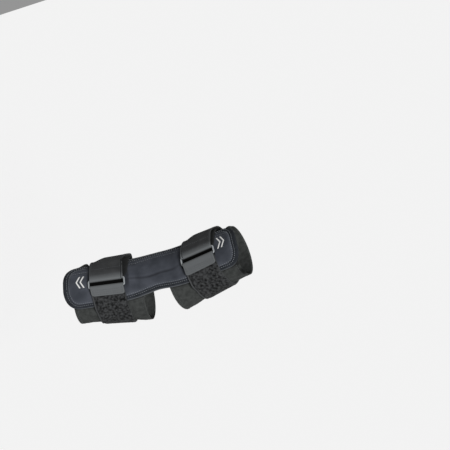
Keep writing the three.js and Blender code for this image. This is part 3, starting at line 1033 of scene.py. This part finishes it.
STRAP_ACROSS = 28
STRAP_EDGE = 0.5
TAB_CORNER = 4
TAB_BACK_LIGHTER = 0.62
EDGE_LINE = 1.6
EDGE_WEAR = 0.15
# A painted highlight where the strap is pulled over the upper bar: its half width, then its strength.
PULLED = 6
BAR_HIGHLIGHT = 0.7
# Painted shade on the sewn end.
TAIL_SHADE = 0.7
PILE_ACROSS = 60
PILE_BORDERS = (2.4, 0.4)
CROWN = (-0.5, 2)
LOOP_SIZE = 1.6
LOOP_HEIGHT = 0.5
LOOP_SEED = 7


def make_webbing(strap):
    last = len(strap.points) - 1

    def across_at(u, at):
        """The tab's corners are cut round."""
        into = clamp(1 - strap.length(at) / TAB_CORNER, 0, 1)
        half = STRAP_WIDTH / 2 - TAB_CORNER * (1 - math.sqrt(1 - into * into))
        return half * (2 * u - 1)

    def place(u, v, face):
        across = across_at(u, v * last)
        at = strap.index(strap.length(v * last), across)
        return strap.place(at, across, (face - HALF) * STRAP_THICK)

    def paint(u, v, face):
        """Painted highlight over the upper bar, a lighter tab back, painted shade in the ring."""
        length = strap.length(v * last)
        ring_shade = strap.shade_inside_ring(v * last)
        if length < strap.tab:
            return TAB_BACK_LIGHTER * (1 - face), ring_shade
        from_edge = (STRAP_WIDTH / 2 - abs(across_at(u, v * last))) / EDGE_LINE
        from_bar = (length - strap.upper_bar) / PULLED
        rubbed = EDGE_WEAR * math.exp(-from_edge * from_edge)
        bar_highlight = BAR_HIGHLIGHT * math.exp(-from_bar * from_bar)
        tail_shade = TAIL_SHADE * smooth(length, strap.tail, strap.tail + SHADE_SOFT)
        return max(rubbed, bar_highlight), max(ring_shade, tail_shade)

    mesh = wall(
        STRAP_ACROSS,
        last,
        place,
        lambda u, v: (u * STRAP_WIDTH, strap.length(v * last)),
        paint,
        edge=STRAP_EDGE,
    )
    finish(f"{strap.name}_webbing", mesh, webbing, [f"{strap.name}_strap"])


def make_pile(strap):
    start, end = strap.pile
    low, high = PILE_BORDERS[0] - STRAP_WIDTH / 2, STRAP_WIDTH / 2 - PILE_BORDERS[1]

    def place(u, v, face):
        at = start + (end - start) * v
        inner = STRAP_THICK / 2 + GAP / 4
        spot = Vector((strap.length(at) / LOOP_SIZE, u * STRAP_WIDTH / LOOP_SIZE, LOOP_SEED))
        loops = noise.noise(spot)
        crown = smooth(min(u, 1 - u) * STRAP_WIDTH, *CROWN)
        outer = STRAP_THICK / 2 + GAP + (PILE_THICK - LOOP_HEIGHT) * crown + LOOP_HEIGHT * loops
        return strap.place(at, low + (high - low) * u, outer if face else inner)

    mesh = wall(
        PILE_ACROSS,
        end - start,
        place,
        lambda u, v: (u * STRAP_WIDTH, strap.length(start + (end - start) * v)),
    )
    finish(f"{strap.name}_loop_pile", mesh, pile, [f"{strap.name}_pile"])


# %% [markdown]
# A ring is a round bar bent to a rectangle with rounded corners, and it follows the arm. It is one
# grid again, once round the rectangle and once round the bar, merged on itself both ways.

# %% Rings
CORNER_STEPS = 8
LONG_STEPS = 20
SHORT_STEPS = 6
BAR_STEPS = 20


def ring_route():
    """The bar's middle line as (along the arm, round it), once round the rectangle."""
    long, tall = STRAP_WIDTH / 2 + RING_PLAY + RING_BAR / 2, (RING_TALL - RING_BAR) / 2
    arcs = []
    for n, (x, y) in enumerate([(1, 1), (-1, 1), (-1, -1), (1, -1)]):
        middle = np.array((x * (long - RING_CORNER), y * (tall - RING_CORNER)))
        angles = [math.pi / 2 * (n + k / CORNER_STEPS) for k in range(CORNER_STEPS + 1)]
        arcs.append([middle + RING_CORNER * np.array((math.cos(a), math.sin(a))) for a in angles])
    route = []
    for n, arc in enumerate(arcs):
        route += arc + divide(arc[-1], arcs[(n + 1) % 4][0], SHORT_STEPS if n % 2 else LONG_STEPS)
    return np.array(route)


def make_ring(fastening):
    middle = fastening["side"] * STRAP_PLACE
    per_mm = math.degrees(1 / (half_width(middle) + RING_HEIGHT))
    route = ring_route()
    ahead = np.roll(route, -1, axis=0) - np.roll(route, 1, axis=0)
    ahead /= np.hypot(ahead[:, 0], ahead[:, 1])[:, None]
    mesh = bmesh.new()
    grid = bmesh.ops.create_grid(mesh, x_segments=len(route), y_segments=BAR_STEPS, size=HALF)
    for vertex in grid["verts"]:
        n = round((vertex.co.x + HALF) * len(route)) % len(route)
        angle = 2 * math.pi * (vertex.co.y + HALF)
        aside = RING_BAR / 2 * math.cos(angle)
        s = middle + route[n][0] + ahead[n][1] * aside
        w = route[n][1] - ahead[n][0] * aside
        height = RING_HEIGHT + RING_BAR / 2 * math.sin(angle)
        vertex.co = on_arm(s, fastening["turn"] + w * per_mm, height)
    bmesh.ops.remove_doubles(mesh, verts=mesh.verts, dist=TINY)
    name = fastening["name"]
    finish(f"{name}_slot_ring", mesh, acetal, [f"{name}_ring"])


straps = [Strap(fastening) for fastening in FASTENINGS]
for fastening, strap in zip(FASTENINGS, straps):
    make_webbing(strap)
    make_pile(strap)
    make_ring(fastening)
    print(strap.name, "strap, mm long:", round(strap.lengths[-1]))

# %% [markdown]
# ## Stitching
# A lockstitch shows as short lengths of thread with a small gap between them, each sunk a little
# at its ends. Each is a small stretched sphere, and a whole seam is one mesh. A seam only has to
# say where its thread lies.

# %% Stitches
STITCH = 3.2
STITCH_GAP = 0.9
THREAD = 0.55
RUN = 25
ON_CLOTH = 0.1
BINDING_SEAM = 4.4
BINDING_POINTS = 360
PADDING_SEAM = 8
PADDING_POINTS = 720
POCKET_SHORT = 1
POCKET_POINTS = 180


def walk(points, pitch=STITCH):
    """Pairs of points, a stitch long, spaced evenly along a line of points in metres."""
    line = np.array([tuple(p) for p in points])
    steps = np.sqrt((np.diff(line, axis=0) ** 2).sum(axis=1))
    lengths_so_far = np.concatenate([[0], np.cumsum(steps)])
    count = int(lengths_so_far[-1] / (pitch * MM))

    def at(length):
        return Vector([float(np.interp(length, lengths_so_far, line[:, k])) for k in range(3)])

    inset = STITCH_GAP / 2 * MM
    return [(at(n * pitch * MM + inset), at((n + 1) * pitch * MM - inset)) for n in range(count)]


def sew(name, lines, material=thread):
    """One mesh of stitches along all the lines of points, made a run of stitches at a time."""
    seam = bmesh.new()
    pairs = [pair for points in lines for pair in walk(points)]
    for first in range(0, len(pairs), RUN):
        run = bmesh.new()
        for start, stop in pairs[first : first + RUN]:
            way = stop - start
            turned = way.to_track_quat("X", "Z").to_matrix().to_4x4()
            size = Matrix.Diagonal((way.length / 2, THREAD * MM / 2, THREAD * MM / 2, 1))
            put = Matrix.Translation((start + stop) / 2) @ turned @ size
            bmesh.ops.create_uvsphere(run, u_segments=6, v_segments=4, radius=1, matrix=put)
        append(seam, run)
    finish(name, seam, material, [])


def on_cover(s, w):
    return on_panel(s, w, panel_top(s, w) + ON_CLOTH)


def outline_line(depth, count, lift):
    """A line that keeps a distance from the outline, lifted onto the cloth point by point."""
    points = []
    for n in range(count + 1):
        point, inward = along_outline(n / count * girth)
        points.append(lift(*(point + inward * depth)))
    return points


def pocket_line():
    """The upper seam of the pocket, which stops short of the binding."""
    short = BINDING_WIDTH + POCKET_SHORT
    points = []
    for n in range(POCKET_POINTS + 1):
        s = short - UPPER_REACH + (UPPER_REACH + FOREARM_REACH - 2 * short) * n / POCKET_POINTS
        points.append(on_cover(s, panel_middle(s) + POCKET_SHIFT + POCKET_WIDTH / 2))
    return points


seams = [
    outline_line(BINDING_SEAM, BINDING_POINTS, lambda s, w: on_panel(s, w, height))
    for height in (BINDING_TOP + ON_CLOTH, BINDING_BASE - ON_CLOTH)
]
seams += [outline_line(PADDING_SEAM, PADDING_POINTS, on_cover), pocket_line()]
sew("panel_stitching", seams)

# %% [markdown]
# Each strap has a row of stitches along both edges, and rows across it hold its sewn end and the
# patch on its tab. Each band's free edges are turned under and sewn. Its ends are sewn in under
# the panel, where no stitch shows.

# %% Seams of the straps and bands
EDGE_SEAM = 2.6
SEAM_STEP = 2
ON_WEBBING = 0.05
TAB_ROWS = 3
TAB_ROW = 3.2
TAB_SHORT = 4
PAST_BAR = 8
BOX_BACK = 6
BOX_LONG = 14
HEM_POINTS = 200
CROSSING_POINTS = 20

seam_aside = STRAP_WIDTH / 2 - EDGE_SEAM
crossing = np.linspace(-seam_aside, seam_aside, CROSSING_POINTS)


def strap_lines(strap):
    """Rows along both edges, across the tab, and across the strap a little before the upper bar."""
    out = STRAP_THICK / 2 + ON_WEBBING
    lines = []
    for across in (-seam_aside, seam_aside):
        on_tab = np.arange(EDGE_SEAM, strap.tab - TAB_SHORT, SEAM_STEP)
        lines.append([strap.place(strap.index(x, across), across, -out) for x in on_tab])
        beyond = np.arange(strap.tab + PAST_BAR, strap.upper_bar, SEAM_STEP)
        lines.append([strap.place(strap.index(x), across, out) for x in beyond])
    for row in range(TAB_ROWS):
        length = EDGE_SEAM + row * TAB_ROW
        lines.append([strap.place(strap.index(length, x), x, -out) for x in crossing])
    for back in (BOX_BACK, BOX_BACK + BOX_LONG):
        at = strap.index(strap.upper_bar - back)
        lines.append([strap.place(at, x, out) for x in crossing])
    return lines


def band_lines(fastening):
    """A row along each hem of a band."""
    lines = []
    for u in (HEM / BAND_WIDTH, 1 - HEM / BAND_WIDTH):
        points = []
        for n in range(HEM_POINTS + 1):
            s, turn = band_point(fastening, u, n / HEM_POINTS)
            rise = band_rise(fastening, s, from_front(turn))
            points.append(on_arm(s, turn, rise + BAND_THICK - ON_CLOTH))
        lines.append(points)
    return lines


for fastening, strap in zip(FASTENINGS, straps):
    name = fastening["name"]
    sew(f"{name}_strap_stitching", strap_lines(strap), dark_thread)
    sew(f"{name}_band_stitching", band_lines(fastening), dark_thread)

# %% [markdown]
# ## Plain marks
# Each end of the panel has a small white print: a pair of chevrons that point away from the elbow,
# so that the wearer sees which way the panel goes. A chevron is a strip that is bent in the
# middle: one grid, with its middle row pushed forward.

# %% Chevrons
CHEVRON_SPAN = 19
CHEVRON_LINE = 2.2
CHEVRON_PITCH = 6
CHEVRON_PUSH = 0.55
CHEVRONS = 2
CHEVRON_ACROSS = 4
CHEVRON_ALONG = 24
PRINT_THICK = 0.12
MARKS = table("name side at aside", ("upper_arm", -1, 118, 3), ("forearm", 1, 116, 6))


def make_chevrons(row):
    meshes = bmesh.new()
    middle = panel_middle(row["side"] * row["at"]) + row["aside"]
    for n in range(CHEVRONS):

        def place(u, v, face, start=row["at"] + n * CHEVRON_PITCH):
            w = middle + CHEVRON_SPAN * (v - HALF)
            push = CHEVRON_PUSH * (CHEVRON_SPAN / 2 - abs(v - HALF) * CHEVRON_SPAN)
            s = row["side"] * (start + CHEVRON_LINE * u + push)
            return on_panel(s, w, panel_top(s, w) + PRINT_THICK * (face * 2 - 1))

        append(meshes, wall(CHEVRON_ACROSS, CHEVRON_ALONG, place, lambda u, v: (u, v)))
    finish(f"{row['name']}_chevrons", meshes, ink, [])


for row in MARKS:
    make_chevrons(row)

# %% [markdown]
# ## Floor, light and camera
# The brace is held up clear of a sheet of pale paper, which lies well below and behind it, so no
# shadow falls on it. One soft light from the front right shapes the brace. The world is dim, so
# the cloth darkens where it turns up and away over the arm or under it. The camera's place and
# turn were fitted to the brace's own outline.

# %% Floor and light
FLOOR_PLACE = (-0.4, 2.8, -3)
FLOOR_SIZE = 6
bpy.ops.mesh.primitive_plane_add(size=FLOOR_SIZE, location=FLOOR_PLACE)
floor = bpy.context.object
floor.name = "floor"
material, tree = start_material("pale_backdrop_paper")
surface(tree, {"Base Color": linear("F9F9F9"), "Roughness": 1, "Specular IOR Level": 0}, {})
floor.data.materials.append(material)

world = bpy.data.worlds.new("pale_studio")
world.use_nodes = True
glow = world.node_tree.nodes["Background"].inputs
glow["Color"].default_value = linear("FFFFFF")
glow["Strength"].default_value = 0.3
bpy.context.scene.world = world
bpy.context.scene.view_settings.view_transform = "Standard"

KEY_PLACE = (1, -1.32, 1.12)
lamp = bpy.data.lights.new("key", "SUN")
lamp.angle = math.radians(22)
lamp.energy = 3.6
key = bpy.data.objects.new("key", lamp)
key.location = KEY_PLACE
key.rotation_euler = (-key.location).to_track_quat("-Z", "Y").to_euler()
bpy.context.scene.collection.objects.link(key)

# %% Camera
CAMERA_PLACE = Vector((0.29995, -0.86917, 1.06401))
RIGHT = (0.95392, -0.11823, -0.27578)
UP = (0.26970, 0.74071, 0.61532)
BACK = (0.13153, -0.66135, 0.73846)
lens = bpy.data.cameras.new("camera")
lens.lens = 72.08
camera = bpy.data.objects.new("camera", lens)
turned = Matrix((RIGHT, UP, BACK)).transposed().to_4x4()
camera.matrix_world = Matrix.Translation(CAMERA_PLACE) @ turned
bpy.context.scene.collection.objects.link(camera)
bpy.context.scene.camera = camera
